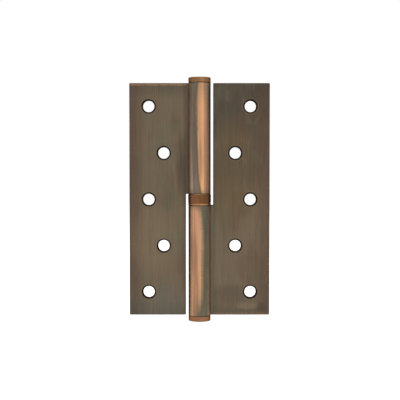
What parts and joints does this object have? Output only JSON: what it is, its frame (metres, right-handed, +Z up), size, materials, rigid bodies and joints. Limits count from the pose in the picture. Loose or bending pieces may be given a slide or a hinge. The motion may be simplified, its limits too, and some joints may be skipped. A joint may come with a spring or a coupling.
{
  "type": "lift-off butt hinge",
  "caption": "Lift-off butt hinge with rolled knuckles, flat leaves with staggered countersunk holes, flat end caps and a ball bearing between the knuckles.",
  "frame": {"origin": "middle of the pin axis, at half height of the barrel, which is the middle of the open hinge", "axes": "+Z up along the pin, +X across the open leaves towards the frame leaf, +Y towards the backs of the leaves"},
  "size_m": [0.0754, 0.0122, 0.1304],
  "materials": {
    "leaf_copper": "antique copper plated steel, brushed",
    "cap_copper": "antique copper plated steel, satin",
    "bearing_bronze": "bronzed steel, satin",
    "pin_steel": "ground steel, oiled",
    "ball_steel": "polished bearing steel"
  },
  "bodies": {
    "frame_side": {"frame_leaf": "leaf_copper", "hinge_pin": "pin_steel", "bottom_cap": "cap_copper", "lower_race": "bearing_bronze"},
    "ball_ring": {"bearing_balls": "ball_steel"},
    "bearing_top": {"bearing_case": "bearing_bronze", "upper_race": "pin_steel"},
    "door_side": {"door_leaf": "leaf_copper", "top_cap": "cap_copper"}
  },
  "joints": [
    {"name": "swing", "type": "hinge", "parent": "frame_side", "child": "bearing_top", "pos_m": [0, 0, 0], "axis": [0, 0, 1], "range_deg": [-110, 180]},
    {"name": "ball_roll", "type": "hinge", "parent": "frame_side", "child": "ball_ring", "pos_m": [0, 0, 0], "axis": [0, 0, 1], "range_deg": [-55, 90]},
    {"name": "lift", "type": "slide", "parent": "bearing_top", "child": "door_side", "axis": [0, 0, 1], "range_m": [0, 0.05]}
  ],
  "couplings": [
    {"joint": "ball_roll", "follows": "swing", "ratio": 0.5}
  ]
}
